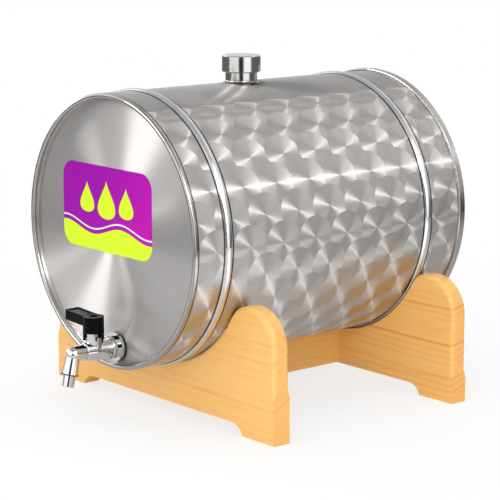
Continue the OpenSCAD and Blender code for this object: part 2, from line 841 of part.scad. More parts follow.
barrel_shell();
front_head();
rear_head();
rear_chime();
filler_neck();
filler_cap();
cap_gasket();
tap_tail();
tap_outer_gasket();
tap_inner_gasket();
tap_lock_nut();
tap_body();
ball_seats();
valve_ball();
valve_stem();
stem_packing();
packing_nut();
lever_handle();
lever_screw();
spout();
spout_o_ring();
spout_nozzle();
front_cradle();
rear_cradle();
stretcher();
front_dowels();
rear_dowels();
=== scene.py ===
"""Looks of a stainless steel drink dispenser: finishes, small details, light and camera."""
import json
import math

import bmesh
import bpy
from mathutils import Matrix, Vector


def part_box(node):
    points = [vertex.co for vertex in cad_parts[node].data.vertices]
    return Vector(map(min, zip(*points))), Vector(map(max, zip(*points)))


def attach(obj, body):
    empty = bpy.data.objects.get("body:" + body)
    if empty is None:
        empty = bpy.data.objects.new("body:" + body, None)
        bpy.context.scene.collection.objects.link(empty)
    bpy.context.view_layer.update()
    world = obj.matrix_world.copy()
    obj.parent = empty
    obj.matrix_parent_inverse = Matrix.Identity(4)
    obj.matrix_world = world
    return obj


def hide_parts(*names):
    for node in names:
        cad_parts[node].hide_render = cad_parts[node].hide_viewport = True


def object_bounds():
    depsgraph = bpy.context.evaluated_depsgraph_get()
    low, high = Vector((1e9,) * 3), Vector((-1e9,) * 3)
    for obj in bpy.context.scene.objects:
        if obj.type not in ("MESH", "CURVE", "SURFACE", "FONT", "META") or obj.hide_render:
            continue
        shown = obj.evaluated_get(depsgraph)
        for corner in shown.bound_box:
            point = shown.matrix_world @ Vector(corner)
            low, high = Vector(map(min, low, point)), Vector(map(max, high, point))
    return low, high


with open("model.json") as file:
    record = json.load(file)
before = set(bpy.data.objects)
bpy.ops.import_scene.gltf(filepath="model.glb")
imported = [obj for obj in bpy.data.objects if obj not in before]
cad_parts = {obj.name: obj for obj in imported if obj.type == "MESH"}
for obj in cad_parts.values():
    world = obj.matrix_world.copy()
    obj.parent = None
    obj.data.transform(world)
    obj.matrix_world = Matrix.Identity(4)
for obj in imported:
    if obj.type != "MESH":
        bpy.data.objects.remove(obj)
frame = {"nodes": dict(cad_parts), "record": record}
cad_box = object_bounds()

# Places and sizes that follow the solids, in metres
MM = 0.001
SHELL_LO, SHELL_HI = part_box("barrel_shell")
CHIME_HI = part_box("rear_chime")[1]
BEAD_H = 1.6 * MM
BEAD_HALF = 3.3 * MM
BEAD_ROOT = 3.5 * MM
FRONT_BEAD = SHELL_LO.y + 28.0 * MM
REAR_BEAD = CHIME_HI.y - 35.3 * MM
SHELL_R = SHELL_HI.x - BEAD_H
RIM_W = 3.5 * MM
RIM_R = RIM_W / 2
NECK_LO, NECK_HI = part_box("filler_neck")
NECK_Y = (NECK_LO.y + NECK_HI.y) / 2
NECK_R = 10.95 * MM
HEAD_T = 0.8 * MM
CENTRE = Vector((0.0, (SHELL_LO.y + CHIME_HI.y) / 2, (SHELL_LO.z + SHELL_HI.z) / 2))

# The photograph's camera: where it stands from the barrel's middle, and its lens
CAM_AZ = math.radians(50.05)
CAM_EL = math.radians(10.833)
CAM_DISTANCE = 1.3828
CAM_RIGHT = 1.42 * MM
CAM_UP = -26.1 * MM
CAM_LENS = 141.75
SENSOR = 36.0


class Field:
    """A value or vector that varies over a surface. Arithmetic on a value adds maths nodes to its tree."""

    def __init__(self, tree, socket):
        self.tree = tree
        self.socket = socket

    def __add__(self, other):
        return maths(self.tree, "ADD", self, other)

    def __radd__(self, other):
        return maths(self.tree, "ADD", other, self)

    def __sub__(self, other):
        return maths(self.tree, "SUBTRACT", self, other)

    def __rsub__(self, other):
        return maths(self.tree, "SUBTRACT", other, self)

    def __mul__(self, other):
        return maths(self.tree, "MULTIPLY", self, other)

    def __truediv__(self, other):
        return maths(self.tree, "DIVIDE", self, other)

    def __neg__(self):
        return maths(self.tree, "MULTIPLY", self, -1.0)

    def __abs__(self):
        return maths(self.tree, "ABSOLUTE", self)

    def floor(self):
        return maths(self.tree, "FLOOR", self)

    def fract(self):
        return maths(self.tree, "FRACT", self)

    def sqrt(self):
        return maths(self.tree, "SQRT", self)

    def sin(self):
        return maths(self.tree, "SINE", self)

    def below(self, limit):
        return maths(self.tree, "LESS_THAN", self, limit)

    def above(self, limit):
        return maths(self.tree, "GREATER_THAN", self, limit)

    def top(self, other):
        return maths(self.tree, "MAXIMUM", self, other)


def put(tree, socket, value):
    """Link a field to a socket, or set a plain value on it."""
    if isinstance(value, Field):
        tree.links.new(value.socket, socket)
    else:
        socket.default_value = value


def maths(tree, operation, *values):
    """The result of one maths node on fields or plain numbers."""
    node = tree.nodes.new("ShaderNodeMath")
    node.operation = operation
    for socket, value in zip(node.inputs, values):
        put(tree, socket, value)
    return Field(tree, node.outputs[0])


def split(vector):
    """The three parts of a vector."""
    node = vector.tree.nodes.new("ShaderNodeSeparateXYZ")
    put(vector.tree, node.inputs[0], vector)
    return [Field(vector.tree, socket) for socket in node.outputs]


def join(tree, *values):
    """A vector of three parts."""
    node = tree.nodes.new("ShaderNodeCombineXYZ")
    for socket, value in zip(node.inputs, values):
        put(tree, socket, value)
    return Field(tree, node.outputs[0])


def source(tree, kind, output):
    """An output of a new node that needs no input."""
    return Field(tree, tree.nodes.new(kind).outputs[output])


def coords(tree):
    """The point in the part's own frame, which moves with the body."""
    return source(tree, "ShaderNodeTexCoord", "Object")


def mesh_normal(tree):
    """The three parts of the mesh's own normal."""
    return split(source(tree, "ShaderNodeNewGeometry", "Normal"))


def noise(vector, scale=1.0, detail=2.0, roughness=0.5):
    """A noise value from 0 to 1 at a point."""
    node = vector.tree.nodes.new("ShaderNodeTexNoise")
    put(vector.tree, node.inputs["Vector"], vector)
    node.inputs["Scale"].default_value = scale
    node.inputs["Detail"].default_value = detail
    node.inputs["Roughness"].default_value = roughness
    return Field(vector.tree, node.outputs["Fac"])


def chance(seed):
    """A steady random value from 0 to 1 for each seed."""
    node = seed.tree.nodes.new("ShaderNodeTexWhiteNoise")
    node.noise_dimensions = "1D"
    put(seed.tree, node.inputs["W"], seed)
    return Field(seed.tree, node.outputs["Value"])


def smooth(value, low, high, start=0.0, end=1.0):
    """Go smoothly from start to end as the value goes from low to high."""
    node = value.tree.nodes.new("ShaderNodeMapRange")
    node.interpolation_type = "SMOOTHSTEP"
    for name, number in (("From Min", low), ("From Max", high), ("To Min", start), ("To Max", end)):
        node.inputs[name].default_value = number
    put(value.tree, node.inputs["Value"], value)
    return Field(value.tree, node.outputs["Result"])


def fade(value, low, high):
    """Go smoothly from 1 down to 0 as the value goes from low to high."""
    return smooth(value, low, high, start=1.0, end=0.0)


def mixed(share, first, second):
    """Go from the first value to the second as the share goes from 0 to 1."""
    return first + share * (second - first)


def vary(share, amount):
    """A share from 0 to 1 as a change about zero, with this amount from end to end."""
    return (share - 0.5) * amount


def length(first, second):
    """The length of a vector with these two parts."""
    return (first * first + second * second).sqrt()


def either(shares):
    """The larger of two shares."""
    first, second = shares
    return first.top(second)


def tint(share, first, second):
    """Mix two colours: first where share is 0, second where it is 1."""
    tree = share.tree
    node = tree.nodes.new("ShaderNodeMix")
    node.data_type = "RGBA"
    put(tree, node.inputs["Factor"], share)
    sides = [socket for socket in node.inputs if socket.type == "RGBA"]
    for socket, colour in zip(sides, (first, second)):
        put(tree, socket, colour if isinstance(colour, Field) else (*colour, 1.0))
    return Field(tree, next(socket for socket in node.outputs if socket.type == "RGBA"))


def shade(colour, level):
    """Make a colour lighter or darker by a level field."""
    node = level.tree.nodes.new("ShaderNodeVectorMath")
    node.operation = "SCALE"
    put(level.tree, node.inputs[0], colour)
    put(level.tree, node.inputs["Scale"], level)
    return Field(level.tree, node.outputs[0])


def relief(height, strength, distance, base=None):
    """Bump a surface by a height field, on the mesh's own normals or on a base normal."""
    node = height.tree.nodes.new("ShaderNodeBump")
    if base is not None:
        put(height.tree, node.inputs["Normal"], base)
    node.inputs["Strength"].default_value = strength
    node.inputs["Distance"].default_value = distance
    put(height.tree, node.inputs["Height"], height)
    return Field(height.tree, node.outputs["Normal"])


def material(name, colour, roughness, metallic=0.0, **sockets):
    """A material on the standard shader, with plain values set on its sockets."""
    made = bpy.data.materials.new(name)
    made.use_nodes = True
    shader = made.node_tree.nodes["Principled BSDF"]
    shader.inputs["Base Color"].default_value = (*colour, 1.0)
    shader.inputs["Roughness"].default_value = roughness
    shader.inputs["Metallic"].default_value = metallic
    for socket, value in sockets.items():
        shader.inputs[socket.replace("_", " ").title().replace("Ior", "IOR")].default_value = value
    return made, made.node_tree, shader.inputs


# The metals: fully metallic, and their colours
METAL = 1.0
STEEL = (0.585, 0.565, 0.55)
STEEL_DARK = (0.50, 0.48, 0.465)
STEEL_PALE = (0.66, 0.64, 0.625)
BEAD_STEEL = (0.74, 0.73, 0.725)
ROLL_STEEL = (0.42, 0.405, 0.39)
CHIME_STEEL = (0.47, 0.455, 0.44)
NECK_STEEL = (0.78, 0.765, 0.75)
BRIGHT_STEEL = (0.82, 0.805, 0.79)
VALVE_STEEL = (0.66, 0.65, 0.64)
CHROME = (0.70, 0.695, 0.69)

# Colours of the plastics and seals
BLACK = (0.002, 0.002, 0.0024)
RUBBER = (0.016, 0.015, 0.015)
SILICONE = (0.55, 0.54, 0.52)
PTFE = (0.84, 0.84, 0.82)

# Colours of the early and the late part of a growth ring
PINE = ((0.91, 0.525, 0.16), (0.82, 0.33, 0.06))
BEECH = ((0.74, 0.50, 0.28), (0.60, 0.36, 0.18))

# The engine turning on the shell: overlapping spots in rows along the barrel
SPOT_PITCH = 28.0 * MM
SPOT_R = 14.8 * MM
SPOT_EDGE = 1.2 * MM
SPOT_SHIFT = -4.7 * MM
SPOT_SEED = 7.31
ROW_GAP = 19.7 * MM
ROW_START = math.radians(6.0)
ROW_STAGGER = 0.5
ROW_SEED = 3.17
SWIRL_ROUGH = 0.42
SWIRL_ANISOTROPY = 0.94
SWIRL_LEVEL = 0.93
SWIRL_RINGS = 900.0
SPOT_LUCK = 0.05
EDGE_SHADE = 0.05

# The plain zone along the top of the shell: how far it goes to either side, and its level
PLAIN_END = math.radians(22.0)
SWIRL_START = math.radians(27.0)
PLAIN_LEVEL = 0.74

# The shell's beads and rolled ends, the painted shade in the creases beside them, and the painted dark
# reflection of the neck on the sheet round it
SMOOTH_ROUGH = 0.16
BEAD_EDGE = 0.6 * MM
ROLL_EDGE = 0.3 * MM
CREASE_SHADE_FADE = (0.3 * MM, 1.1 * MM)
CREASE_SHADE_DEPTH = 0.9
RIM_SHADE_FADE = (0.2 * MM, 0.8 * MM)
RIM_SHADE_DEPTH = 0.8
NECK_REFLECTION_FADE = (NECK_R + 1.0 * MM, NECK_R + 9.0 * MM)
NECK_REFLECTION_LEVEL = 0.5

# How far off the true tube or rolled rim a point may lie and still get its normal
RIM_FIT = (0.15 * MM, 0.30 * MM)
TUBE_FIT = (0.25 * MM, 0.40 * MM)
TUBE_START = 0.1 * MM


def top_spot(along, around):
    """The spot that lies on top at a point: two offsets from its middle, the distance, and a seed.

    A spot lies over the one before it in its row, and a row over the row before it.
    """
    upper = ((around + SPOT_R) / ROW_GAP).floor()
    best = None
    for row_back in (1, 0):
        row = upper - float(row_back)
        across = around - row * ROW_GAP
        start = along - (row * ROW_STAGGER).fract() * SPOT_PITCH
        last = ((start + SPOT_R) / SPOT_PITCH).floor()
        for spot_back in (1, 0):
            spot = last - float(spot_back)
            off = start - spot * SPOT_PITCH
            reach = length(off, across)
            found = (off, across, reach, spot * SPOT_SEED + row * ROW_SEED)
            if best is None:
                best = found
                continue
            inside = reach.below(SPOT_R)
            best = tuple(mixed(inside, old, new) for old, new in zip(best, found))
    return best


def shell_normal(tree, x, y, lift, radius):
    """The true normal on the shell's tube and rolled rim, and the mesh's own normal elsewhere."""
    rim_out = radius - (SHELL_R - RIM_R)
    rim_back = y - (SHELL_LO.y + RIM_R)
    rim_reach = length(rim_out, rim_back)
    turned = rim_out / (radius * rim_reach)
    on_rim = (x * turned, rim_back / rim_reach, lift * turned)
    on_tube = (x / radius, 0.0, lift / radius)
    rim = fade(abs(rim_reach - RIM_R), *RIM_FIT)
    tube = fade(abs(radius - SHELL_R), *TUBE_FIT) * smooth(rim_back, 0.0, TUBE_START)
    parts = mesh_normal(tree)
    for share, true_parts in ((rim, on_rim), (tube, on_tube)):
        parts = [mixed(share, own, true) for own, true in zip(parts, true_parts)]
    return join(tree, *parts)


def swirl_steel():
    """Engine-turned sheet: each spot's fine rings stretch the highlight outwards from its middle.

    The top is plain, the beads and the rolled ends are smooth, with painted shade lines beside them,
    and the sheet has a painted dark reflection of the neck round it.
    """
    made, tree, inputs = material("swirl_steel", STEEL, SWIRL_ROUGH, METAL, anisotropic=SWIRL_ANISOTROPY)
    x, y, z = split(coords(tree))
    lift = z - CENTRE.z
    radius = length(x, lift)
    turn = maths(tree, "ARCTAN2", x, lift)
    off, across, reach, seed = top_spot(y - (CENTRE.y + SPOT_SHIFT), (turn - ROW_START) * SHELL_R)

    swirled = smooth(abs(turn), PLAIN_END, SWIRL_START)
    across = across * swirled
    off = mixed(swirled, SPOT_R, off)
    put(tree, inputs["Tangent"], join(tree, across * lift, off * radius, -(across * x)))

    luck = chance(seed)
    rings = noise(join(tree, reach * SWIRL_RINGS, seed, 0.0), detail=3.0, roughness=0.6)
    edge = smooth(reach, SPOT_R - SPOT_EDGE, SPOT_R) * swirled
    from_beads = [abs(y - middle) for middle in (FRONT_BEAD, REAR_BEAD)]
    from_ends = (y - SHELL_LO.y, SHELL_HI.y - y)
    bead = either(fade(gap, BEAD_HALF - BEAD_EDGE, BEAD_HALF) for gap in from_beads)
    roll = either(fade(gap, RIM_W - ROLL_EDGE, RIM_W + ROLL_EDGE) for gap in from_ends)
    # Painted shade: dark lines in the creases at the roots of the beads
    painted_crease_shade = either(fade(abs(gap - BEAD_ROOT), *CREASE_SHADE_FADE) for gap in from_beads)
    # Painted shade: a dark line in the gap behind the front rolled rim
    painted_rim_shade = fade(abs(from_ends[0] - RIM_W), *RIM_SHADE_FADE)
    # Painted reflection: the sheet is darker round the neck, as the neck's dark sides would mirror in it
    painted_neck_reflection = smooth(length(x, y - NECK_Y), *NECK_REFLECTION_FADE, start=NECK_REFLECTION_LEVEL, end=1.0)

    level = SWIRL_LEVEL + luck * SPOT_LUCK + vary(rings, 0.10) - edge * EDGE_SHADE
    level = level * (1.0 - painted_crease_shade * CREASE_SHADE_DEPTH) * mixed(swirled, PLAIN_LEVEL, 1.0)
    # The painted dark reflection of the neck, on the upper half of the shell only
    level = level * painted_neck_reflection.top(lift.below(0.0))
    colour = tint(bead, shade(STEEL, level), BEAD_STEEL)
    colour = tint(roll, colour, ROLL_STEEL)
    # The painted shade line behind the front rolled rim darkens the colour here
    put(tree, inputs["Base Color"], shade(colour, 1.0 - painted_rim_shade * RIM_SHADE_DEPTH))

    plain = bead.top(roll)
    rough = SWIRL_ROUGH + vary(luck, 0.05) + vary(rings, 0.08)
    put(tree, inputs["Roughness"], mixed(plain, rough, SMOOTH_ROUGH))
    normal = shell_normal(tree, x, y, lift, radius)
    height = rings * (1.0 - plain)
    put(tree, inputs["Normal"], relief(height, strength=0.05, distance=0.2 * MM, base=normal))
    return made


# The spun heads: SATIN_LEAN tips the stretch of the highlight a little along the axis
SATIN_ROUGH = 0.40
SATIN_LEVEL = 0.99
SATIN_LEAN = 0.15
SATIN_RINGS = 1500.0


def satin_steel():
    """Spun heads: brushed in rings round the barrel's axis."""
    made, tree, inputs = material("satin_steel", STEEL, SATIN_ROUGH, METAL, anisotropic=1.0)
    point = coords(tree)
    x, _, z = split(point)
    lift = z - CENTRE.z
    radius = length(x, lift)
    put(tree, inputs["Tangent"], join(tree, x, radius * SATIN_LEAN, lift))
    rings = noise(join(tree, radius * SATIN_RINGS, 0.0, 0.0), detail=3.0, roughness=0.65)
    cloud = noise(point, scale=22.0)
    level = SATIN_LEVEL + vary(rings, 0.12)
    put(tree, inputs["Base Color"], shade(tint(cloud, STEEL_PALE, STEEL), level))
    put(tree, inputs["Roughness"], SATIN_ROUGH + vary(rings, 0.06) + vary(cloud, 0.04))
    put(tree, inputs["Normal"], relief(rings, strength=0.04, distance=0.1 * MM))
    return made


# Polished metal: how polishing marks are drawn out, and the painted shade at the foot of a pipe that is
# welded in
MARK_STRETCH = (2.0, 2.0, 60.0)
MARK_SHARE = 0.6
POLISH_LEVEL = 0.98
HAZE_SHARE = 0.3
FOOT_SHADE_FADE = (0.4 * MM, 3.4 * MM)
FOOT_SHADE_LEVEL = 0.22


def polished(name, colour, roughness, scratch=0.05, foot=None):
    """Bright metal with faint polishing marks and handling haze, with painted shade at its foot if that is
    welded in.
    """
    made, tree, inputs = material(name, colour, roughness, METAL)
    point = coords(tree)
    parts = split(point)
    haze = noise(point, scale=60.0, detail=3.0, roughness=0.6)
    marks = noise(join(tree, *[axis * gain for axis, gain in zip(parts, MARK_STRETCH)]), scale=40.0)
    put(tree, inputs["Roughness"], roughness + vary(haze, scratch) + vary(marks, scratch * MARK_SHARE))
    level = POLISH_LEVEL + vary(marks, 0.06)
    # Painted shade at the foot, where the pipe meets the shell
    if foot is not None:
        level = level * smooth(parts[2] - foot, *FOOT_SHADE_FADE, start=FOOT_SHADE_LEVEL, end=1.0)
    put(tree, inputs["Base Color"], shade(tint(haze * HAZE_SHARE, colour, STEEL_DARK), level))
    return made


def moulded(name, colour, roughness, **sockets):
    """Moulded plastic or rubber with a fine mould grain."""
    made, tree, inputs = material(name, colour, roughness, **sockets)
    point = coords(tree)
    fine = noise(point, scale=1400.0)
    broad = noise(point, scale=90.0)
    put(tree, inputs["Base Color"], shade(colour, 1.0 + vary(broad, 0.3)))
    put(tree, inputs["Roughness"], roughness + vary(broad, 0.12))
    put(tree, inputs["Normal"], relief(fine, strength=0.12, distance=0.05 * MM))
    return made


# Wood: the late part of a growth ring, what darkens the wood and by how much, its relief, and the painted
# shade in the saddles
LATE_FROM = 0.35
LATE_FULL = 0.93
LATE_LEAST = 0.08
LATE_GLOSS = 0.06
RING_SWAY = 12.0 * MM
STREAK_SHARE = 0.30
END_SHARE = 0.30
FIBRE_HEIGHT = 0.6
BAND_HEIGHT = 0.4
WOOD_ROUGH = 0.48
WOOD_LEVEL = 0.97
SADDLE_SHADE_FADE = (0.6 * MM, 2.0 * MM)
SADDLE_SHADE_LEVEL = 0.6


def wood(name, grain_axis, pith, ring_gap, colours=PINE, figure=0.6, saddle_shaded=False):
    """Sawn wood: growth rings round a distant pith line, fine fibres, dark streaks and darker end grain.

    A board that carries the barrel has painted shade in its saddle, darker nearer the barrel.
    """
    early, late = colours
    made, tree, inputs = material(name, early, WOOD_ROUGH)
    point = split(coords(tree))
    run = point[grain_axis]
    others = point[:grain_axis] + point[grain_axis + 1:]
    side, rise = [axis - middle for axis, middle in zip(others, pith)]

    def grain(along, across, **look):
        """Noise that is drawn out along the grain, by how fine it is along and across."""
        return noise(join(tree, run * along, side * across, rise * across), **look)

    sway = grain(along=5.0, across=9.0)
    fibre = grain(along=30.0, across=1400.0, detail=3.0, roughness=0.6)
    cloud = grain(along=6.0, across=20.0)
    streak = smooth(grain(along=14.0, across=420.0), low=0.55, high=0.72)
    ring = (length(side, rise) + vary(sway, RING_SWAY)) / ring_gap
    phase = ring.fract()
    luck = chance(ring.floor())
    band = smooth(phase, LATE_FROM, LATE_FULL) - smooth(phase, LATE_FULL, 1.0)
    end = smooth(abs(mesh_normal(tree)[grain_axis]), low=0.6, high=0.95)

    share = band * (LATE_LEAST + luck * luck * figure) + vary(cloud, 0.35)
    share = share + streak * STREAK_SHARE + end * END_SHARE
    level = WOOD_LEVEL + vary(fibre, 0.16) + vary(cloud, 0.08)
    # Painted shade in the saddle, darker nearer the barrel
    if saddle_shaded:
        x, _, z = point
        gap = length(x, z - CENTRE.z) - SHELL_R
        level = level * smooth(gap, *SADDLE_SHADE_FADE, start=SADDLE_SHADE_LEVEL, end=1.0)
    put(tree, inputs["Base Color"], shade(tint(share, early, late), level))
    put(tree, inputs["Roughness"], WOOD_ROUGH + vary(fibre, 0.2) - band * LATE_GLOSS)
    height = fibre * FIBRE_HEIGHT + band * BAND_HEIGHT
    put(tree, inputs["Normal"], relief(height, strength=0.12, distance=0.15 * MM))
    return made


# The axis of a piece's grain, and where its pith line lies on the other two axes
ALONG_X = 0
ALONG_Y = 1
FRONT_PITH = (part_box("front_cradle")[1].y + 60.0 * MM, -90.0 * MM)
REAR_PITH = (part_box("rear_cradle")[1].y + 40.0 * MM, -110.0 * MM)
RAIL_PITH = (60.0 * MM, -90.0 * MM)
DOWEL_PITH = (8.0 * MM, -20.0 * MM)

# The finish of each material slot, and of the nodes that have one of their own
slot_finish = {
    "swirl_steel": swirl_steel(),
    "satin_steel": satin_steel(),
    "polished_steel": polished("polished_steel", BRIGHT_STEEL, roughness=0.17),
    "chrome": polished("chrome", CHROME, roughness=0.07, scratch=0.03),
    "valve_steel": polished("valve_steel", VALVE_STEEL, roughness=0.2),
    "black_plastic": moulded("black_plastic", BLACK, roughness=0.34, specular_ior_level=0.06),
    "rubber": moulded("rubber", RUBBER, roughness=0.6),
    "silicone": moulded("silicone", SILICONE, roughness=0.45),
    "ptfe": moulded("ptfe", PTFE, roughness=0.4),
    "beech": wood("beech", ALONG_Y, DOWEL_PITH, ring_gap=2.0 * MM, colours=BEECH),
}
node_finish = {
    "rear_chime": polished("chime_steel", CHIME_STEEL, roughness=0.2),
    "filler_neck": polished("neck_steel", NECK_STEEL, roughness=0.17, foot=CENTRE.z + SHELL_R),
    "front_cradle": wood("pine_front", ALONG_X, FRONT_PITH, ring_gap=5.2 * MM, figure=0.45, saddle_shaded=True),
    "rear_cradle": wood("pine_rear", ALONG_X, REAR_PITH, ring_gap=4.2 * MM, figure=0.95, saddle_shaded=True),
    "stretcher": wood("pine_stretcher", ALONG_Y, RAIL_PITH, ring_gap=3.6 * MM),
}

for node, obj in frame["nodes"].items():
    slot = next(part["material_slot"] for part in frame["record"]["subparts"] if part["node"] == node)
    obj.data.materials.clear()
    obj.data.materials.append(node_finish.get(node) or slot_finish[slot])


def new_object(name, build):
    """A new object in the scene, whose mesh a function builds."""
    mesh = bpy.data.meshes.new(name)
    form = bmesh.new()
    build(form)
    form.to_mesh(mesh)
    form.free()
    obj = bpy.data.objects.new(name, mesh)
    bpy.context.scene.collection.objects.link(obj)
    return obj


def skin(form, rings):
    """Close a form through rings of points: walls from each ring to the next, and a face on both ends."""
    rows = [[form.verts.new(point) for point in ring] for ring in rings]
    for low, high in zip(rows, rows[1:]):
        for k in range(len(low)):
            after = (k + 1) % len(low)
            form.faces.new((low[k], low[after], high[after], high[k]))
    form.faces.new(rows[0][::-1])
    form.faces.new(rows[-1])
    bmesh.ops.recalc_face_normals(form, faces=form.faces)


# The label on the front head: a purple sticker with a lime wave and three drops
LABEL_W = 100.0 * MM
LABEL_H = 58.0 * MM
LABEL_CORNER = 11.0 * MM
LABEL_T = 0.25 * MM
LABEL_AT = Vector((-9.5 * MM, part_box("front_head")[1].y - HEAD_T, CENTRE.z + 13.5 * MM))
CORNER_STEPS = 10
PURPLE = (0.31, 0.0, 0.355)
MAGENTA = (0.47, 0.0, 0.39)
LIME = (0.65, 0.87, 0.02)
WHITE_INK = (0.86, 0.86, 0.86)
INK_ROUGH = 0.32
INK_EDGE = 0.25 * MM
MAGENTA_FADE = (-30.0 * MM, 60.0 * MM)
MAGENTA_SLANT = 0.5
WAVE_LENGTH = 0.62 * LABEL_W
WAVE_H = 3.2 * MM
WAVE_DOWN = 15.0 * MM
STRIPE_DOWN = 11.6 * MM
STRIPE_HALF = 0.5 * MM
DROP_UP = 6.5 * MM
DROP_MIN = 0.0001

# Each drop's place across the label, half width and half height
DROPS = (
    (-22.0 * MM, 6.2 * MM, 10.5 * MM),
    (0.0, 7.6 * MM, 13.0 * MM),
    (22.0 * MM, 6.2 * MM, 10.5 * MM),
)

# The film's rings, from the head outwards: inset from the outline, and height
FILM_RINGS = ((0.0, 0.0), (0.0, 0.7 * LABEL_T), (0.4 * LABEL_T, LABEL_T))


def print_ink():
    """The sticker's print, drawn from distances to simple shapes."""
    made, tree, inputs = material("label_print", PURPLE, INK_ROUGH, specular_ior_level=0.15)
    point = coords(tree)
    x, _, z = split(point)
    u = x - LABEL_AT.x
    v = z - LABEL_AT.z
    colour = tint(smooth(u - v * MAGENTA_SLANT, *MAGENTA_FADE), PURPLE, MAGENTA)

    swell = (u * (math.tau / WAVE_LENGTH)).sin() * WAVE_H
    wave = fade(v + WAVE_DOWN - swell, -INK_EDGE, INK_EDGE)
    stripe = fade(abs(v + STRIPE_DOWN - swell), STRIPE_HALF - INK_EDGE, STRIPE_HALF + INK_EDGE)
    colour = tint(wave, colour, LIME)
    colour = tint(stripe, colour, WHITE_INK)

    for place, half_width, half_height in DROPS:
        rise = (v - DROP_UP) / half_height
        inside = (1.0 - rise * rise).top(0.0)
        half = inside.sqrt() * (1.0 - rise) * half_width
        drop = fade(abs(u - place) - half, -INK_EDGE, INK_EDGE) * inside.above(DROP_MIN)
        colour = tint(drop, colour, LIME)

    grain = noise(point, scale=900.0)
    put(tree, inputs["Base Color"], shade(colour, 1.0 + vary(grain, 0.08)))
    put(tree, inputs["Roughness"], INK_ROUGH + vary(grain, 0.08))
    put(tree, inputs["Normal"], relief(grain, strength=0.03, distance=0.05 * MM))
    return made


def rounded_outline(width, height, corner):
    """The points of a rectangle with rounded corners, about its middle."""
    points = []
    for turn, (side, up) in enumerate(((1, 1), (-1, 1), (-1, -1), (1, -1))):
        for step in range(CORNER_STEPS + 1):
            angle = math.pi / 2 * (turn + step / CORNER_STEPS)
            points.append((side * (width / 2 - corner) + corner * math.cos(angle),
                           up * (height / 2 - corner) + corner * math.sin(angle)))
    return points


def label():
    """A thin film with a rounded outline, lying on the flat of the front head."""

    def film(form):
        rings = []
        for inset, out in FILM_RINGS:
            outline = rounded_outline(LABEL_W - 2 * inset, LABEL_H - 2 * inset, LABEL_CORNER - inset)
            rings.append([(LABEL_AT.x + u, LABEL_AT.y - out, LABEL_AT.z + v) for u, v in outline])
        skin(form, rings)

    obj = new_object("label", film)
    obj.data.materials.append(print_ink())
    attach(obj, "barrel")


# The lever's screw. The dome and the recess are shares of the height and radius of its head.
SCREW_HEAD_H = 1.6 * MM
SCREW_R = 0.75 * MM
SCREW_STEPS = 48
DOME_H = 0.45
DOME_DEGREES = (0, 20, 40, 60, 75)
RECESS_DEPTH = 0.6
RECESS_REACH = 0.58
RECESS_HALF = 0.12
RECESS_ARMS = 4
RECESS_TURN = math.pi / 4


def lever_screw():
    """The screw on top of the lever: a low rounded head with a cross recess."""
    low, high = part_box("lever_screw")
    axis = (low + high) / 2
    head_r = (high.x - low.x) / 2
    under = high.z - SCREW_HEAD_H
    profile = [(SCREW_R, low.z), (SCREW_R, under), (head_r, under)]
    for angle in map(math.radians, DOME_DEGREES):
        drop = DOME_H * SCREW_HEAD_H * (1.0 - math.sin(angle))
        profile.append((head_r * math.cos(angle), high.z - drop))

    def turned(form):
        turns = [math.tau * step / SCREW_STEPS for step in range(SCREW_STEPS)]
        rings = []
        for radius, z in profile:
            rings.append([(axis.x + radius * math.cos(a), axis.y + radius * math.sin(a), z) for a in turns])
        skin(form, rings)

    def cross(form):
        reach = RECESS_REACH * head_r
        half = RECESS_HALF * head_r
        corners = []
        for k in range(RECESS_ARMS):
            c = math.cos(math.tau * k / RECESS_ARMS + RECESS_TURN)
            s = math.sin(math.tau * k / RECESS_ARMS + RECESS_TURN)
            for u, v in ((reach, -half), (reach, half), (half, half)):
                corners.append((axis.x + u * c - v * s, axis.y + u * s + v * c))
        floor_z = high.z - RECESS_DEPTH * SCREW_HEAD_H
        skin(form, [[(x, y, z) for x, y in corners] for z in (floor_z, high.z + SCREW_HEAD_H)])

    screw = new_object("cross_screw", turned)
    tool = new_object("cross_tool", cross)
    cut = screw.modifiers.new("cross", "BOOLEAN")
    cut.operation = "DIFFERENCE"
    cut.solver = "EXACT"
    cut.object = tool
    bpy.context.view_layer.update()
    made = bpy.data.meshes.new_from_object(screw.evaluated_get(bpy.context.evaluated_depsgraph_get()))
    screw.modifiers.clear()
    screw.data = made
    bpy.data.objects.remove(tool)
    made.materials.clear()
    made.materials.append(slot_finish["valve_steel"])
    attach(screw, "lever")
    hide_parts("lever_screw")


label()
lever_screw()

# Sharp edges that get a small rounding to catch the light, with its width
EDGE_ANGLE = math.radians(40.0)
EDGE_SEGMENTS = 2
EDGE_WIDTHS = {
    "lever_handle": 0.35 * MM,
    "front_cradle": 0.4 * MM,
    "rear_cradle": 0.4 * MM,
    "stretcher": 0.4 * MM,
}

for node, width in EDGE_WIDTHS.items():
    rounding = frame["nodes"][node].modifiers.new("soft_edges", "BEVEL")
    rounding.width = width
    rounding.segments = EDGE_SEGMENTS
    rounding.limit_method = "ANGLE"
    rounding.angle_limit = EDGE_ANGLE

# The room that the steel mirrors: its level below and above the horizon, and its darker ceiling
HORIZON = (math.radians(-4.0), math.radians(8.0))
GROUND_LEVEL = 0.10
WALL_LEVEL = 0.70
CEILING = (math.radians(28.0), math.radians(55.0))
CEILING_SHARE = 0.72
AMBIENT = 0.80

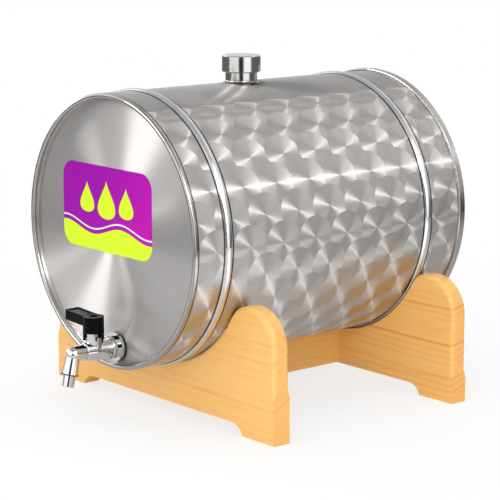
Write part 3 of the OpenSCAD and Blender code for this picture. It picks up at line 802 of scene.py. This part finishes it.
# Its bright panels: azimuth, elevation, half width, half height and edge in degrees, then brightness
BRIGHT_PANELS = (
    (230.0, 0.0, 30.0, 24.0, 8.0, 0.12),
    (6.0, 10.0, 30.0, 42.0, 5.0, 0.85),
    (87.0, 10.0, 23.0, 42.0, 5.0, 1.1),
    (72.0, 31.0, 32.0, 7.0, 4.0, 2.0),
    (-62.0, 22.0, 42.0, 19.0, 6.0, 0.75),
    (172.0, 50.0, 40.0, 5.0, 3.0, 0.75),
    (147.0, 40.0, 32.0, 4.0, 3.0, 0.45),
    (135.0, 27.0, 32.0, 4.5, 3.0, 0.75),
)

# A dark gap in the room, given in the same way, and how much of the light it takes
DARK_GAP = (50.0, -5.0, 14.0, 30.0, 3.0)
DARK_SHARE = 0.96

# The floor: its size and colour, the share of it that glows, and the levels of the glow in reflections
FLOOR_R = 0.8
FLOOR_SIDES = 96
FLOOR_GAP = 0.05 * MM
FLOOR_PALE = (0.90, 0.92, 0.945)
GLOW_RADII = (0.20, 0.60)
GLOW_SHARE = 0.72
MIRROR_BASE = 0.55
MIRROR_FRONT = 0.35
MIRROR_SIDE = 0.5
MIRROR_PATCH = 1.3
FRONT_FADE = (0.05, 0.25)
SIDE_AZ = math.radians(92.0)
SIDE_FADE = (math.radians(12.0), math.radians(26.0))
PATCH_R = 0.40
PATCH_FADE = (0.10, 0.22)
OUTER_FADE = (0.45, 0.80)
OUTER_SHARE = 0.45

# Soft boxes: azimuth and elevation in degrees, distance, width, height, watts, and a setting to turn off.
# The right and front ones light no matt surface, and the fill and top ones make no reflection.
SOFTBOXES = {
    "right": (71.0, 31.0, 1.4, 0.36, 0.36, 4.6, "visible_diffuse"),
    "front": (-30.0, 30.0, 1.4, 0.6, 0.40, 6.5, "visible_diffuse"),
    "left": (-75.0, 12.0, 1.4, 0.3, 0.3, 2.4, None),
    "fill": (44.0, 12.0, 1.5, 0.9, 0.9, 9.0, "visible_glossy"),
    "top": (20.0, 85.0, 1.2, 0.9, 0.9, 4.0, "visible_glossy"),
}


def light_path(tree, *kinds):
    """Shares that are 1 on rays of these kinds and 0 on others."""
    path = tree.nodes.new("ShaderNodeLightPath")
    return [Field(tree, path.outputs[f"Is {kind} Ray"]) for kind in kinds]


def studio_world():
    """The world: white for the camera and for transmission, and a room of soft panels in reflections.

    All other rays meet an even light.
    """
    world = bpy.data.worlds.new("studio")
    world.use_nodes = True
    bpy.context.scene.world = world
    tree = world.node_tree
    x, y, z = split(source(tree, "ShaderNodeTexCoord", "Generated"))
    turn = maths(tree, "ARCTAN2", x, -y)
    rise = maths(tree, "ARCSINE", z)

    def panel(azimuth, elevation, half_width, half_height, edge):
        """How much of a soft-edged panel lies in this direction, with its place and size in degrees."""
        swing = abs(maths(tree, "WRAP", turn - math.radians(azimuth), math.pi, -math.pi))
        tilt = abs(rise - math.radians(elevation))
        wide = fade(swing, math.radians(half_width - edge), math.radians(half_width + edge))
        high = fade(tilt, math.radians(half_height - edge), math.radians(half_height + edge))
        return wide * high

    room = smooth(rise, *HORIZON, start=GROUND_LEVEL, end=WALL_LEVEL)
    room = room * smooth(rise, *CEILING, start=1.0, end=CEILING_SHARE)
    for *place, brightness in BRIGHT_PANELS:
        room = room + panel(*place) * brightness
    room = room * (1.0 - panel(*DARK_GAP) * DARK_SHARE)

    camera, glossy, through = light_path(tree, "Camera", "Glossy", "Transmission")
    level = mixed(glossy, AMBIENT, room)
    level = mixed(camera.top(through), level, 1.0)
    shader = tree.nodes["Background"]
    put(tree, shader.inputs["Strength"], level)
    shader.inputs["Color"].default_value = (1.0, 1.0, 1.0, 1.0)


def pale_floor():
    """A round pale floor that glows for the camera and in reflections, and keeps part of the shadow."""

    def disc(form):
        bmesh.ops.create_circle(form, cap_ends=True, radius=FLOOR_R, segments=FLOOR_SIDES)

    obj = new_object("floor", disc)
    obj.location = (0.0, 0.0, cad_box[0].z - FLOOR_GAP)
    made, tree, _ = material("floor", FLOOR_PALE, roughness=0.6, specular_ior_level=0.2)
    x, y, _ = split(coords(tree))
    out = length(x, y)
    turn = maths(tree, "ARCTAN2", x, -y)
    beside = fade(abs(turn - SIDE_AZ), *SIDE_FADE)
    patch = fade(abs(out - PATCH_R), *PATCH_FADE)
    mirrored = MIRROR_BASE + smooth(-y, *FRONT_FADE) * MIRROR_FRONT
    mirrored = mirrored + beside * (MIRROR_SIDE + patch * MIRROR_PATCH)
    mirrored = mirrored * smooth(out, *OUTER_FADE, start=1.0, end=OUTER_SHARE)

    camera, glossy = light_path(tree, "Camera", "Glossy")
    glow = tree.nodes.new("ShaderNodeEmission")
    put(tree, glow.inputs["Strength"], mixed(glossy, 1.0, mirrored))
    mix = tree.nodes.new("ShaderNodeMixShader")
    put(tree, mix.inputs[0], smooth(out, *GLOW_RADII, start=GLOW_SHARE, end=1.0) * camera.top(glossy))
    tree.links.new(tree.nodes["Principled BSDF"].outputs[0], mix.inputs[1])
    tree.links.new(glow.outputs[0], mix.inputs[2])
    tree.links.new(mix.outputs[0], tree.nodes["Material Output"].inputs["Surface"])
    obj.data.materials.append(made)


def heading(azimuth, elevation):
    """Unit vector from the barrel's middle towards an azimuth and an elevation in degrees."""
    a = math.radians(azimuth)
    e = math.radians(elevation)
    return Vector((math.sin(a) * math.cos(e), -math.cos(a) * math.cos(e), math.sin(e)))


def softbox(name, azimuth, elevation, distance, width, height, watts, unseen):
    """A rectangular lamp that faces the barrel's middle, unseen by one kind of ray if that is named."""
    lamp = bpy.data.lights.new(name, "AREA")
    lamp.shape = "RECTANGLE"
    lamp.size = width
    lamp.size_y = height
    lamp.energy = watts
    obj = bpy.data.objects.new(name, lamp)
    bpy.context.scene.collection.objects.link(obj)
    towards = heading(azimuth, elevation)
    obj.location = CENTRE + towards * distance
    obj.rotation_euler = towards.to_track_quat("Z", "Y").to_euler()
    if unseen:
        setattr(obj, unseen, False)


studio_world()
pale_floor()
for lamp_name, values in SOFTBOXES.items():
    softbox(lamp_name, *values)

camera_data = bpy.data.cameras.new("camera")
camera_data.lens = CAM_LENS
camera_data.sensor_width = SENSOR
camera = bpy.data.objects.new("camera", camera_data)
bpy.context.scene.collection.objects.link(camera)
camera.rotation_euler = (math.pi / 2 - CAM_EL, 0.0, CAM_AZ)
axes = camera.rotation_euler.to_matrix()
camera.location = CENTRE + axes @ Vector((CAM_RIGHT, CAM_UP, CAM_DISTANCE))
bpy.context.scene.camera = camera
bpy.context.scene.view_settings.view_transform = "Standard"
